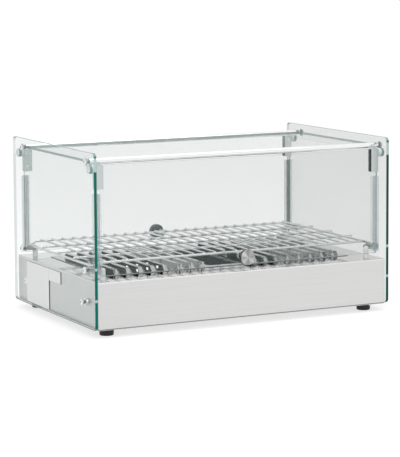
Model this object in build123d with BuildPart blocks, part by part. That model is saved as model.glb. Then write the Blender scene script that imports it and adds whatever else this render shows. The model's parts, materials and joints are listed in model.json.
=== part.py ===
from build123d import *
import os

# Counter-top heated display case: a steel heating base, a glass case with a door at the
# front and at the rear, a wire rack and a water tray. Millimetres, +Z up, front towards -Y,
# origin on the floor under the middle of the overall box.

# Driving sizes of the glass case
glass_bottom = 13.0
glass_height = 286.0
glass_depth = 350.0
glass_front = -181.0
side_glass = 5.0
inner_width = 540.0
glass_corner = 7.5
door_sheet = 4.0
top_sheet = 4.0

# Driving sizes of the base
shell_half = 268.2
shell_front = 2.0
shell_back = 347.0
shell_low = 0.5
shell_top = 77.5
sheet = 1.0
flange = 12.0

# Places shared by several pieces, measured from the glass front edge and its lower edge
front_rod_y, rear_rod_y, rod_z, rod_radius = 31.5, 304.0, 270.5, 5.0
pivot_y, pivot_z = 22.5, 259.0
stud_y, stud_back_y, stud_z = 40.0, 312.0, 93.7
spacer_y, spacer_back_y, spacer_z = 53.0, 293.5, 40.0
knob_z = 100.0
half_inner = inner_width / 2
half_outer = half_inner + side_glass
sides = (-1, 1)

os.makedirs("parts", exist_ok=True)


def y_at(depth):
    return glass_front + depth


def z_at(height):
    return glass_bottom + height


def corner(left, front, low, right, back, high):
    """Centre and size of a box given by its corners in case measures."""
    centre = ((left + right) / 2, y_at((front + back) / 2), z_at((low + high) / 2))
    return centre, (right - left, back - front, high - low)


def block(left, front, low, right, back, high, mode=Mode.ADD):
    centre, size = corner(left, front, low, right, back, high)
    with Locations(centre):
        return Box(*size, mode=mode)


def rod_x(start, stop, depth, height, radius, mode=Mode.ADD):
    """Round bar along X from start to stop."""
    with Locations(Location(((start + stop) / 2, y_at(depth), z_at(height)), (0, 90, 0))):
        return Cylinder(radius, abs(stop - start), mode=mode)


def dome_x(start, stop, depth, height, radius, tip_radius):
    """Rounded end along X: two cone steps from radius at start to tip_radius at stop."""
    reach = stop - start
    middle = start + reach * 0.6
    shoulder = radius - (radius - tip_radius) * 0.35
    turn = 90 if reach > 0 else -90
    for low, high, first, last in ((start, middle, radius, shoulder), (middle, stop, shoulder, tip_radius)):
        with Locations(Location(((low + high) / 2, y_at(depth), z_at(height)), (0, turn, 0))):
            Cone(first, last, abs(high - low))


def rod_y(start, stop, across, height, radius, mode=Mode.ADD):
    """Round bar along Y from start to stop."""
    with Locations(Location((across, y_at((start + stop) / 2), z_at(height)), (90, 0, 0))):
        return Cylinder(radius, abs(stop - start), mode=mode)


def rod_up(low, high, across, depth, radius, mode=Mode.ADD):
    """Upright round bar from low to high."""
    with Locations((across, y_at(depth), z_at((low + high) / 2))):
        return Cylinder(radius, high - low, mode=mode)


def save(piece, name):
    piece.part.label = name
    export_step(piece.part, f"parts/{name}.step")


# Side glasses
rod_hole, bush_hole, stud_hole, spacer_hole = 3.6, 7.3, 3.1, 3.1
for side, name in ((-1, "left_side_glass"), (1, "right_side_glass")):
    with BuildPart() as pane:
        block(min(side * half_inner, side * half_outer), 0, 0,
              max(side * half_inner, side * half_outer), glass_depth, glass_height)
        fillet(pane.edges().filter_by(Axis.X), glass_corner)
        for depth in (front_rod_y, rear_rod_y):
            rod_x(side * 260, side * 280, depth, rod_z, rod_hole, Mode.SUBTRACT)
        for depth in (pivot_y, glass_depth - pivot_y):
            rod_x(side * 260, side * 280, depth, pivot_z, bush_hole, Mode.SUBTRACT)
        for depth in (stud_y, stud_back_y):
            rod_x(side * 260, side * 280, depth, stud_z, stud_hole, Mode.SUBTRACT)
        for depth in (spacer_y, spacer_back_y):
            rod_x(side * 260, side * 280, depth, spacer_z, spacer_hole, Mode.SUBTRACT)
        outer_edges = pane.faces().sort_by(Axis.X)[0].outer_wire().edges()
        outer_edges += pane.faces().sort_by(Axis.X)[-1].outer_wire().edges()
        chamfer(outer_edges, 0.6)
    save(pane, name)

# Cross rods, each with a groove for the top glass
groove, groove_slack = 2.2, 0.1
rod_bore = 2.6
for depth, toward, name in ((front_rod_y, 1, "front_rod"), (rear_rod_y, -1, "rear_rod")):
    with BuildPart() as bar:
        rod_x(-half_inner, half_inner, depth, rod_z, rod_radius)
        for side in sides:
            rod_x(side * (half_inner - 20), side * half_inner, depth, rod_z, rod_bore, Mode.SUBTRACT)
        inner_face = depth + toward * rod_radius
        groove_floor = inner_face - toward * groove
        block(-half_inner, min(groove_floor, inner_face), rod_z - top_sheet / 2 - groove_slack,
              half_inner, max(groove_floor, inner_face), rod_z + top_sheet / 2 + groove_slack, Mode.SUBTRACT)
    save(bar, name)

# Top glass, held in the grooves of the two rods
top_reach = rod_radius - groove + 0.2
with BuildPart() as top_glass:
    block(-half_inner + 0.7, front_rod_y + top_reach, rod_z - top_sheet / 2,
          half_inner - 0.7, rear_rod_y - top_reach, rod_z + top_sheet / 2)
    chamfer(top_glass.edges().filter_by(Axis.X), 0.4)
save(top_glass, "top_glass")


def dome_screw(side, depth, height, face, head_radius, head_height, shank_radius, shank_end):
    """Dome-head screw along X with its head on the outer face and a hexagon recess."""
    collar = head_height * 0.35
    rod_x(side * face, side * (face + collar), depth, height, head_radius)
    dome_x(side * (face + collar), side * (face + head_height), depth, height,
           head_radius, head_radius * 0.55)
    rod_x(side * face, side * shank_end, depth, height, shank_radius)
    tip = (side * (face + head_height), y_at(depth), z_at(height))
    recess = Plane(origin=tip, x_dir=(0, 1, 0), z_dir=(side, 0, 0))
    with BuildSketch(recess) as hexagon:
        RegularPolygon(head_radius * 0.36, 6)
    extrude(hexagon.sketch, amount=-head_height * 0.6, mode=Mode.SUBTRACT)


# Screws and washers that hold the rods, outside the side glasses
washer_sheet, washer_radius, washer_bore = 1.0, 6.3, 2.7
shank_radius = 2.5
rod_screw_head, rod_screw_rise = 5.4, 3.0
side_screw_head, side_screw_rise = 6.0, 3.2
with BuildPart() as rod_washers:
    for side in sides:
        for depth in (front_rod_y, rear_rod_y):
            rod_x(side * half_outer, side * (half_outer + washer_sheet), depth, rod_z, washer_radius)
            rod_x(side * half_outer, side * (half_outer + washer_sheet), depth, rod_z, washer_bore,
                  Mode.SUBTRACT)
save(rod_washers, "rod_washers")

with BuildPart() as rod_end_screws:
    for side in sides:
        for depth in (front_rod_y, rear_rod_y):
            dome_screw(side, depth, rod_z, half_outer + washer_sheet, rod_screw_head, rod_screw_rise,
                       shank_radius, half_inner - 15)
save(rod_end_screws, "rod_end_screws")

# Bushes in the side glasses that carry the hinge pins
bush_radius, bush_start, pin_radius, pin_bore = 7.2, 265.4, 2.5, 2.55
recess_radius, recess_depth = 4.6, 3.2
with BuildPart() as hinge_bushes:
    for side in sides:
        for depth in (pivot_y, glass_depth - pivot_y):
            rod_x(side * bush_start, side * half_outer, depth, pivot_z, bush_radius)
            rod_x(side * bush_start, side * half_outer, depth, pivot_z, pin_bore, Mode.SUBTRACT)
            rod_x(side * (half_outer - recess_depth), side * half_outer, depth, pivot_z,
                  recess_radius, Mode.SUBTRACT)
save(hinge_bushes, "hinge_bushes")

# Doors: glass, hinge clamps, set screws, pins, seals, knob. The rear door is the mirror of the front one.
door_half = 264.0
door_low, door_high = 85.0, 265.0
door_front = 21.3
door_back = door_front + door_sheet
clamp_inner, clamp_outer = 251.0, 264.8
clamp_front, clamp_back = 18.3, 28.0
clamp_low, clamp_high = 226.0, 265.3
notch_in, notch_low = 255.8, 252.8
slack = 0.1
knob_hole = 3.2
knob_radius, knob_face, knob_sheet = 13.0, -4.0, 8.0
set_screw_x, set_screw_radius, set_screw_slot = 259.3, 2.0, 1.05
set_screw_rows = (235.0, 257.6)
set_screw_tips = (door_back, 25.1)
pin_head, pin_head_start, pin_dimple = 4.3, 2.9, 1.6
strip_in, strip_out = 254.5, 266.0
strip_front, strip_back = 18.5, 27.2
strip_low, strip_high = 88.0, 218.5
lip_out, lip_front, lip_back = 269.5, 22.4, 23.6
rib_places, rib_width, rib_depth = (256.6, 259.2, 261.8, 264.2), 0.9, 0.5


def turned(depth, rear):
    """Depth of a front-door feature, mirrored for the rear door."""
    return glass_depth - depth if rear else depth


def door_block(left, front, low, right, back, high, rear, mode=Mode.ADD):
    first, second = sorted((turned(front, rear), turned(back, rear)))
    return block(min(left, right), first, low, max(left, right), second, high, mode)


for rear, door in ((False, "front"), (True, "rear")):
    with BuildPart() as door_glass:
        door_block(-door_half, door_front, door_low, door_half, door_back, door_high, rear)
        fillet(door_glass.edges().filter_by(Axis.Y).group_by(Axis.Z)[0], 5.0)
        for side in sides:
            door_block(side * (notch_in - slack), door_front - 1, notch_low - slack, side * (door_half + 1),
                       door_back + 1, door_high + 1, rear, Mode.SUBTRACT)
        rod_y(turned(door_front - 1, rear), turned(door_back + 1, rear), 0, knob_z, knob_hole, Mode.SUBTRACT)
    save(door_glass, f"{door}_door_glass")

    with BuildPart() as clamps:
        for side in sides:
            door_block(side * clamp_inner, clamp_front, clamp_low,
                       side * clamp_outer, clamp_back, clamp_high, rear)
            door_block(side * clamp_inner, door_front - slack, clamp_low, side * (door_half + slack),
                       door_back + slack, notch_low, rear, Mode.SUBTRACT)
            door_block(side * clamp_inner, door_front - slack, notch_low, side * notch_in,
                       door_back + slack, clamp_high, rear, Mode.SUBTRACT)
            rod_x(side * (notch_in + 1.2), side * clamp_outer, turned(pivot_y, rear), pivot_z,
                  pin_radius + 0.02, Mode.SUBTRACT)
            for height in set_screw_rows:
                rod_y(turned(24.0, rear), turned(clamp_back, rear), side * set_screw_x, height,
                      set_screw_radius + 0.02, Mode.SUBTRACT)
    save(clamps, f"{door}_hinge_clamps")

    with BuildPart() as set_screws:
        for side in sides:
            for height, tip in zip(set_screw_rows, set_screw_tips):
                across = side * set_screw_x
                rod_y(turned(tip, rear), turned(clamp_back, rear), across, height, set_screw_radius)
                rod_y(turned(clamp_back - 1.6, rear), turned(clamp_back, rear), across, height,
                      set_screw_slot, Mode.SUBTRACT)
    save(set_screws, f"{door}_clamp_set_screws")

    with BuildPart() as pins:
        for side in sides:
            pin_face = half_outer - 0.4
            rod_x(side * (notch_in + 1.4), side * (half_outer - 1.0), turned(pivot_y, rear), pivot_z,
                  pin_radius)
            head_start = half_outer - pin_head_start
            rod_x(side * head_start, side * pin_face, turned(pivot_y, rear), pivot_z, pin_head)
            rod_x(side * (head_start + 1), side * pin_face, turned(pivot_y, rear), pivot_z,
                  pin_dimple, Mode.SUBTRACT)
    save(pins, f"{door}_hinge_pins")

    with BuildPart() as seals:
        for side in sides:
            door_block(side * strip_in, strip_front, strip_low,
                       side * strip_out, strip_back, strip_high, rear)
            door_block(side * (strip_in - slack), door_front - slack, strip_low, side * (door_half + slack),
                       door_back + slack, strip_high, rear, Mode.SUBTRACT)
            door_block(side * strip_out, lip_front, strip_low, side * lip_out, lip_back, strip_high, rear)
            for rib in rib_places:
                door_block(side * rib, strip_front, strip_low, side * (rib + rib_width),
                           strip_front + rib_depth, strip_high, rear, Mode.SUBTRACT)
    save(seals, f"{door}_door_seals")

    disc_back = knob_face + knob_sheet
    with BuildPart() as knob:
        rod_y(turned(knob_face, rear), turned(disc_back, rear), 0, knob_z, knob_radius)
        fillet(knob.edges().filter_by(GeomType.CIRCLE), 1.0)
        rod_y(turned(disc_back - 0.5, rear), turned(door_front - 0.6, rear), 0, knob_z, 5.5)
        rod_y(turned(disc_back + 2, rear), turned(door_front - 0.6, rear), 0, knob_z, 2.02, Mode.SUBTRACT)
    save(knob, f"{door}_door_knob")

    with BuildPart() as knob_fixing:
        rod_y(turned(door_front - 0.6, rear), turned(door_front, rear), 0, knob_z, 6.5)
        rod_y(turned(door_back, rear), turned(door_back + 0.8, rear), 0, knob_z, 6.0)
        for first, second in ((door_front - 0.7, door_front + 0.1), (door_back - 0.1, door_back + 0.9)):
            rod_y(turned(first, rear), turned(second, rear), 0, knob_z, 2.2, Mode.SUBTRACT)
    save(knob_fixing, f"{door}_knob_washers")

    with BuildPart() as knob_screw:
        rod_y(turned(disc_back + 4, rear), turned(door_back + 1.0, rear), 0, knob_z, 2.0)
        rod_y(turned(door_back + 0.8, rear), turned(door_back + 3.2, rear), 0, knob_z, 3.8)
        fillet(knob_screw.edges().filter_by(GeomType.CIRCLE).sort_by(Axis.Y)[0 if rear else -1], 1.0)
        door_block(-2.6, door_back + 2.2, knob_z - 0.5, 2.6, door_back + 3.3, knob_z + 0.5, rear,
                   Mode.SUBTRACT)
    save(knob_screw, f"{door}_knob_screw")

# Posts on the deck that the closed doors rest against
post_across, post_depth, post_radius, post_top = 248.0, 30.1, 4.5, 97.0
with BuildPart() as door_stop_posts:
    for side in sides:
        for depth in (post_depth, glass_depth - post_depth):
            rod_up(shell_top, post_top, side * post_across, depth, post_radius)
    fillet(door_stop_posts.edges().filter_by(GeomType.CIRCLE).group_by(Axis.Z)[-1], 3.8)
save(door_stop_posts, "door_stop_posts")

# Base shell: front, two sides and the top folded from one sheet, with return flanges
well_half, well_front, well_back = 225.0, 65.0, 290.0
cover_screw_row = (-216.0, -3.0, 243.0)
cover_screw_front, cover_screw_back = 8.0, 341.0
panel_screw_x, panel_screw_rows = 260.5, (12.0, 66.0)
screw_hole = 1.75
with BuildPart() as base_shell:
    block(-shell_half, shell_front, shell_low, shell_half, shell_back, shell_top)
    fillet(base_shell.edges().filter_by(Axis.Z).group_by(Axis.Y)[0], 1.5)
    fillet(base_shell.edges().filter_by(Axis.X).group_by(Axis.Y)[0].group_by(Axis.Z)[-1], 0.9)
    block(-shell_half + sheet, shell_front + sheet, shell_low + sheet,
          shell_half - sheet, shell_back + 1, shell_top - sheet, Mode.SUBTRACT)
    block(-shell_half + flange, shell_front + flange, shell_low - 1,
          shell_half - flange, shell_back + 1, shell_low + sheet, Mode.SUBTRACT)
    block(-well_half, well_front, shell_top - sheet, well_half, well_back, shell_top + 1, Mode.SUBTRACT)
    for side in sides:
        block(min(side * shell_half, side * (shell_half - flange)), shell_back - sheet, shell_low,
              max(side * shell_half, side * (shell_half - flange)), shell_back, shell_top)
        for depth in (spacer_y, spacer_back_y):
            rod_x(side * 260, side * 270, depth, spacer_z, 2.6, Mode.SUBTRACT)
        for height in panel_screw_rows:
            rod_y(shell_back - 2, shell_back + 1, side * panel_screw_x, height, screw_hole, Mode.SUBTRACT)
    for across in cover_screw_row:
        rod_up(shell_low - 1, shell_low + 2, across, cover_screw_front, screw_hole, Mode.SUBTRACT)
save(base_shell, "base_shell")

# Spacers, screws and nuts that join the side glasses to the base
with BuildPart() as base_spacers:
    for side in sides:
        for depth in (spacer_y, spacer_back_y):
            rod_x(side * shell_half, side * half_inner, depth, spacer_z, 6.0)
            rod_x(side * shell_half, side * half_inner, depth, spacer_z, 2.7, Mode.SUBTRACT)
save(base_spacers, "base_spacers")

with BuildPart() as base_side_screws:
    for side in sides:
        for depth in (spacer_y, spacer_back_y):
            dome_screw(side, depth, spacer_z, half_outer, side_screw_head, side_screw_rise,
                       shank_radius, shell_half - 7)
save(base_side_screws, "base_side_screws")

with BuildPart() as base_side_nuts:
    for side in sides:
        for depth in (spacer_y, spacer_back_y):
            with BuildSketch(Plane(origin=(side * (shell_half - sheet), y_at(depth), z_at(spacer_z)),
                                   x_dir=(0, 1, 0), z_dir=(-side, 0, 0))):
                RegularPolygon(4.6, 6)
                Circle(2.52, mode=Mode.SUBTRACT)
            extrude(amount=4.0)
save(base_side_nuts, "base_side_nuts")

# Louvred deck plate. Each louvre is a lanced hood: part of a round bar with ball ends,
# open along one long side.
deck_half, deck_front, deck_back, deck_sheet = 230.0, 60.0, 295.0, 1.0
deck_top = shell_top + deck_sheet
hood_height, hood_length, hood_reach, hood_slope = 7.5, 100.0, 14.6, 40.0
hood_wall, hood_corner = 0.8, 7.6
hood_rows = (64.0, 176.0)
outer_hoods = (107.5, 130.0, 152.5, 175.0, 197.5)
inner_hoods = (60.0, 80.5, 101.0)
tray_half, tray_front, tray_back, tray_corner = 36.0, 72.0, 272.0, 13.0


def hood_form(open_x, facing, start, inset, low):
    """Half of a sloped, round-cornered bulge, kept on the closed side of its open edge."""
    middle = (open_x, y_at(start + hood_length / 2))
    with BuildPart(mode=Mode.PRIVATE) as bulge:
        with BuildSketch(Plane.XY.offset(z_at(low))):
            with Locations(middle):
                RectangleRounded(2 * (hood_reach - inset), hood_length - 2 * inset, hood_corner)
        extrude(amount=deck_top + hood_height - inset - low, taper=hood_slope)
        with Locations((open_x + facing * 25, middle[1], z_at(deck_top))):
            Box(50, 200, 60, mode=Mode.INTERSECT)
    return bulge.part


hoods = []
for start in hood_rows:
    for side in sides:
        for across in outer_hoods:
            hoods.append((side * (across + hood_reach), -side, start))
        for across in inner_hoods:
            hoods.append((side * (across - hood_reach), side, start))

with BuildPart() as deck_plate:
    block(-deck_half, deck_front, shell_top, deck_half, deck_back, deck_top)
    fillet(deck_plate.edges().filter_by(Axis.Z), 2.0)
    for open_x, facing, start in hoods:
        add(hood_form(open_x, facing, start, 0.0, deck_top - 0.4))
    for open_x, facing, start in hoods:
        add(hood_form(open_x, facing, start, hood_wall, shell_top - 0.2), mode=Mode.SUBTRACT)
    with BuildSketch(Plane.XY.offset(z_at(deck_top))):
        with Locations((0, y_at((tray_front + tray_back) / 2))):
            RectangleRounded(2 * tray_half, tray_back - tray_front, tray_corner)
    extrude(amount=-6.0)
    with BuildSketch(Plane.XY.offset(z_at(deck_top))):
        with Locations((0, y_at((tray_front + tray_back) / 2))):
            RectangleRounded(2 * tray_half - 2, tray_back - tray_front - 2, tray_corner - 1)
    extrude(amount=-5.0, mode=Mode.SUBTRACT)
    with BuildSketch(Plane.XY.offset(z_at(deck_top))):
        with Locations((0, y_at((tray_front + tray_back) / 2))):
            RectangleRounded(2 * tray_half - 10, tray_back - tray_front - 10, tray_corner - 5)
    extrude(amount=-7.0, mode=Mode.SUBTRACT)
save(deck_plate, "deck_plate")

# Water tray: a deep-drawn pan whose rim lies on the ledge of the deck
rim_z = deck_top - 5.0
tray_depth, tray_wall = 30.0, 0.8
tray_mid = y_at((tray_front + tray_back) / 2)
tray_length = tray_back - tray_front
with BuildPart() as water_tray:
    with BuildSketch(Plane.XY.offset(z_at(rim_z) + 0.1)):
        with Locations((0, tray_mid)):
            RectangleRounded(2 * tray_half - 3.2, tray_length - 3.2, tray_corner - 1.6)
    extrude(amount=tray_wall)
    with BuildSketch(Plane.XY.offset(z_at(rim_z) + 0.1)):
        with Locations((0, tray_mid)):
            RectangleRounded(2 * tray_half - 11, tray_length - 11, tray_corner - 5.5)
    extrude(amount=-tray_depth, taper=3)
    with BuildSketch(Plane.XY.offset(z_at(rim_z) + 0.1 + tray_wall)):
        with Locations((0, tray_mid)):
            RectangleRounded(2 * tray_half - 12.6, tray_length - 12.6, tray_corner - 6.3)
    extrude(amount=-tray_depth, taper=3, mode=Mode.SUBTRACT)
save(water_tray, "water_tray")

# Wire rack: a looped edge wire, cross rails and bearing wires on top
rack_front, rack_rear = 40.0, 312.0
rail_radius, wire_radius = 2.0, 1.5
rail_z, loop_z = 104.0, 100.0
wire_z = rail_z + 2.7
loop_half, bend_in, bend_out = 264.0, 250.0, 258.0
rack_mid = (rack_front + rack_rear) / 2
cross_rail_z = loop_z + 2 * rail_radius - 0.2
with BuildPart() as wire_rack:
    for step in range(-12, 13):
        rod_y(rack_front - 1.0, rack_rear + 1.0, step * 20.0, wire_z, wire_radius)
    for depth in (108.0, rack_mid, 244.0):
        rod_x(-loop_half - 1.5, loop_half + 1.5, depth, cross_rail_z, rail_radius)
    for depth in (rack_front, rack_rear):
        with BuildLine() as edge_path:
            FilletPolyline(
                (-loop_half, y_at(rack_mid), z_at(loop_z)),
                (-loop_half, y_at(depth), z_at(loop_z)),
                (-bend_out, y_at(depth), z_at(loop_z)),
                (-bend_in, y_at(depth), z_at(rail_z)),
                (bend_in, y_at(depth), z_at(rail_z)),
                (bend_out, y_at(depth), z_at(loop_z)),
                (loop_half, y_at(depth), z_at(loop_z)),
                (loop_half, y_at(rack_mid), z_at(loop_z)),
                radius=[4.5, 3.0, 3.0, 3.0, 3.0, 4.5])
        with BuildSketch(Plane(origin=edge_path.line @ 0, z_dir=edge_path.line % 0)) as edge_round:
            Circle(rail_radius)
        sweep(edge_round.sketch, path=edge_path.line)
save(wire_rack, "wire_rack")

# Studs on the side glasses that carry the rack, and the screws that hold them
stud_flange, stud_neck_end, stud_head_end = 1.2, 255.0, 249.5
with BuildPart() as rack_studs:
    for side in sides:
        for depth in (stud_y, stud_back_y):
            rod_x(side * half_inner, side * (half_inner - stud_flange), depth, stud_z, 6.0)
            rod_x(side * half_inner, side * stud_neck_end, depth, stud_z, 4.0)
            rod_x(side * stud_neck_end, side * (stud_head_end + 2.6), depth, stud_z, 5.0)
            dome_x(side * (stud_head_end + 2.6), side * stud_head_end, depth, stud_z, 5.0, 2.4)
            rod_x(side * half_inner, side * (half_inner - 11), depth, stud_z, 2.55, Mode.SUBTRACT)
save(rack_studs, "rack_studs")

with BuildPart() as rack_stud_screws:
    for side in sides:
        for depth in (stud_y, stud_back_y):
            dome_screw(side, depth, stud_z, half_outer, side_screw_head, side_screw_rise,
                       shank_radius, half_inner - 10)
save(rack_stud_screws, "rack_stud_screws")

# Rear panel with the controls
panel_back = shell_back + sheet
knob_x, rocker_x, lamp_x, gland_x = -205.0, -150.0, -110.0, 205.0
control_z = 40.0
with BuildPart() as rear_panel:
    block(-shell_half, shell_back, shell_low, shell_half, panel_back, shell_top)
    rod_y(shell_back - 1, panel_back + 1, knob_x, control_z, 5.0, Mode.SUBTRACT)
    block(rocker_x - 9.6, shell_back - 1, control_z - 13.6, rocker_x + 9.6, panel_back + 1, control_z + 13.6,
          Mode.SUBTRACT)
    rod_y(shell_back - 1, panel_back + 1, lamp_x, control_z, 6.1, Mode.SUBTRACT)
    rod_y(shell_back - 1, panel_back + 1, gland_x, control_z, 8.1, Mode.SUBTRACT)
    for across in (-60.0, -40.0, -20.0, 0.0, 20.0, 40.0, 60.0):
        with BuildSketch(Plane(origin=(across, y_at(panel_back), z_at(control_z)),
                               x_dir=(1, 0, 0), z_dir=(0, 1, 0))):
            SlotOverall(30, 4, rotation=90)
        extrude(amount=-2 * sheet, mode=Mode.SUBTRACT)
    block(-shell_half + flange + 1, shell_back - flange, shell_low, shell_half - flange - 1, shell_back,
          shell_low + sheet)
    for side in sides:
        for height in panel_screw_rows:
            rod_y(shell_back - 1, panel_back + 1, side * panel_screw_x, height, screw_hole, Mode.SUBTRACT)
    for across in cover_screw_row:
        rod_up(shell_low - 1, shell_low + 2, across, cover_screw_back, screw_hole, Mode.SUBTRACT)
save(rear_panel, "rear_panel")

with BuildPart() as rear_panel_screws:
    for side in sides:
        for height in panel_screw_rows:
            rod_y(panel_back, panel_back + 2.0, side * panel_screw_x, height, 3.4)
            rod_y(shell_back - 5, panel_back, side * panel_screw_x, height, 1.7)
    for ring in rear_panel_screws.edges().filter_by(GeomType.CIRCLE).group_by(Axis.Y)[-1:]:
        fillet(ring, 1.2)
save(rear_panel_screws, "rear_panel_screws")

# Bottom cover, its screws, the feet and their fixings
cover_low = -0.5
foot_across, foot_front, foot_back, foot_radius = 242.5, 30.0, 320.0, 12.5
foot_places = [(side * foot_across, depth) for side in sides for depth in (foot_front, foot_back)]
with BuildPart() as bottom_cover:
    block(-shell_half + 1.5, shell_front + 1.2, cover_low, shell_half - 1.5, shell_back - 0.5, shell_low)
    for row in range(4):
        for column in range(9):
            with BuildSketch(Plane.XY.offset(z_at(cover_low))):
                with Locations(((column - 4) * 26.0, y_at(120 + row * 36.0))):
                    SlotOverall(18, 3.5)
            extrude(amount=sheet, mode=Mode.SUBTRACT)
    for across, depth in foot_places:
        rod_up(cover_low - 1, shell_low + 1, across, depth, 2.6, Mode.SUBTRACT)
    for across in cover_screw_row:
        for depth in (cover_screw_front, cover_screw_back):
            rod_up(cover_low - 1, shell_low + 1, across, depth, screw_hole, Mode.SUBTRACT)
save(bottom_cover, "bottom_cover")

with BuildPart() as bottom_screws:
    for across in cover_screw_row:
        for depth in (cover_screw_front, cover_screw_back):
            rod_up(cover_low - 1.6, cover_low, across, depth, 3.2)
            rod_up(cover_low - 0.1, shell_low + 4.0, across, depth, 1.5)
save(bottom_screws, "bottom_screws")

with BuildPart() as rubber_feet:
    for across, depth in foot_places:
        with BuildSketch(Plane.XY.offset(0)):
            with Locations((across, y_at(depth))):
                Circle(foot_radius - 1.0)
        extrude(amount=glass_bottom + cover_low, taper=-4)
    fillet(rubber_feet.edges().filter_by(GeomType.CIRCLE).group_by(Axis.Z)[0], 1.2)
    for across, depth in foot_places:
        rod_up(-glass_bottom, cover_low, across, depth, 2.6, Mode.SUBTRACT)
        rod_up(-glass_bottom, -glass_bottom + 7, across, depth, 5.2, Mode.SUBTRACT)
save(rubber_feet, "rubber_feet")

with BuildPart() as foot_screws:
    for across, depth in foot_places:
        rod_up(-glass_bottom + 4.0, -glass_bottom + 7.0, across, depth, 4.5)
        rod_up(-glass_bottom + 6.9, shell_low + 7.0, across, depth, 2.5)
save(foot_screws, "foot_screws")

with BuildPart() as foot_nuts:
    for across, depth in foot_places:
        with BuildSketch(Plane.XY.offset(z_at(shell_low))):
            with Locations((across, y_at(depth))):
                RegularPolygon(4.6, 6)
                Circle(2.52, mode=Mode.SUBTRACT)
        extrude(amount=4.0)
save(foot_nuts, "foot_nuts")

# Heating element: a U of sheathed rod on brackets, over a reflector sheet
element_z, element_radius = 24.0, 4.0
element_half, element_front, element_back = 90.0, 90.0, 300.0
with BuildPart() as heating_element:
    with BuildLine() as element_path:
        FilletPolyline(
            (-element_half, y_at(element_back), z_at(element_z)),
            (-element_half, y_at(element_front), z_at(element_z)),
            (element_half, y_at(element_front), z_at(element_z)),
            (element_half, y_at(element_back), z_at(element_z)),
            radius=[30.0, 30.0])
    with BuildSketch(Plane(origin=element_path.line @ 0, z_dir=element_path.line % 0)):
        Circle(element_radius)
    sweep(path=element_path.line)
save(heating_element, "heating_element")

with BuildPart() as element_terminals:
    for side in sides:
        rod_y(element_back, element_back + 6, side * element_half, element_z, 3.2)
        block(side * element_half - 3.1, element_back + 5.9, element_z - 0.4,
              side * element_half + 3.1, element_back + 14, element_z + 0.4)
save(element_terminals, "element_terminals")

reflector_z, reflector_sheet, reflector_rim = 8.0, 0.8, 10.0
reflector_half, reflector_front, reflector_back = 130.0, 70.0, 310.0
reflector_legs, leg_x, leg_half = (80.0, 190.0, 300.0), 122.0, 3.0
with BuildPart() as heat_reflector:
    block(-reflector_half, reflector_front, reflector_z, reflector_half, reflector_back,
          reflector_z + reflector_sheet)
    for side in sides:
        rim_inner, rim_outer = sorted((side * (reflector_half - reflector_sheet), side * reflector_half))
        block(rim_inner, reflector_front, reflector_z, rim_outer, reflector_back, reflector_z + reflector_rim)
        for depth in reflector_legs:
            block(side * leg_x - leg_half, depth - leg_half, shell_low,
                  side * leg_x + leg_half, depth + leg_half, reflector_z)
save(heat_reflector, "heat_reflector")

bracket_rows, bracket_half, bracket_foot, bracket_web = (130.0, 280.0), 5.0, 9.0, 0.6
with BuildPart() as element_brackets:
    for side in sides:
        across = side * element_half
        foot_z = reflector_z + reflector_sheet
        for depth in bracket_rows:
            front, back = depth - bracket_half, depth + bracket_half
            block(across - bracket_foot, front, foot_z, across + bracket_foot, back, foot_z + 1.0)
            block(across - bracket_web, front, foot_z + 1.0, across + bracket_web, back, element_z)
            rod_y(front, back, across, element_z, element_radius + 1.0)
            rod_y(front - 1, back + 1, across, element_z, element_radius + 0.02, Mode.SUBTRACT)
save(element_brackets, "element_brackets")

# Thermostat behind the rear panel, its dial ring and its knob
with BuildPart() as thermostat_body:
    block(knob_x - 18, shell_back - 24, control_z - 16, knob_x + 18, shell_back - 1.2, control_z + 16)
    fillet(thermostat_body.edges().filter_by(Axis.Y), 3.0)
    rod_y(shell_back - 1.3, shell_back, knob_x, control_z, 8.0)
    rod_y(shell_back - 1.3, panel_back + 4, knob_x, control_z, 3.0)
save(thermostat_body, "thermostat_body")

dial_radius, dial_sheet, spindle_hole = 22.0, 1.0, 5.0
with BuildPart() as dial_bezel:
    rod_y(panel_back, panel_back + dial_sheet, knob_x, control_z, dial_radius)
    rod_y(panel_back, panel_back + dial_sheet, knob_x, control_z, spindle_hole, Mode.SUBTRACT)
save(dial_bezel, "dial_bezel")

dial_reach, skirt_radius, grip_radius = 18.0, 18.0, 14.0
with BuildPart() as thermostat_knob:
    rod_y(panel_back + 1.4, panel_back + 4.4, knob_x, control_z, skirt_radius)
    rod_y(panel_back + 4.3, panel_back + dial_reach, knob_x, control_z, grip_radius)
    fillet(thermostat_knob.edges().filter_by(GeomType.CIRCLE).sort_by(Axis.Y)[-1], 1.5)
    for turn in range(20):
        with BuildSketch(Plane(origin=(knob_x, y_at(panel_back + dial_reach), z_at(control_z)),
                               x_dir=(1, 0, 0), z_dir=(0, 1, 0))):
            with PolarLocations(grip_radius + 0.4, 1, start_angle=turn * 18 + 9):
                Circle(1.2)
        extrude(amount=-dial_reach + 4.4, mode=Mode.SUBTRACT)
    block(knob_x - 0.6, panel_back + dial_reach - 0.6, control_z + 3, knob_x + 0.6,
          panel_back + dial_reach + 1, control_z + 15, Mode.SUBTRACT)
    rod_y(panel_back + 1.4, panel_back + 9, knob_x, control_z, 3.05, Mode.SUBTRACT)
save(thermostat_knob, "thermostat_knob")

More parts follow.
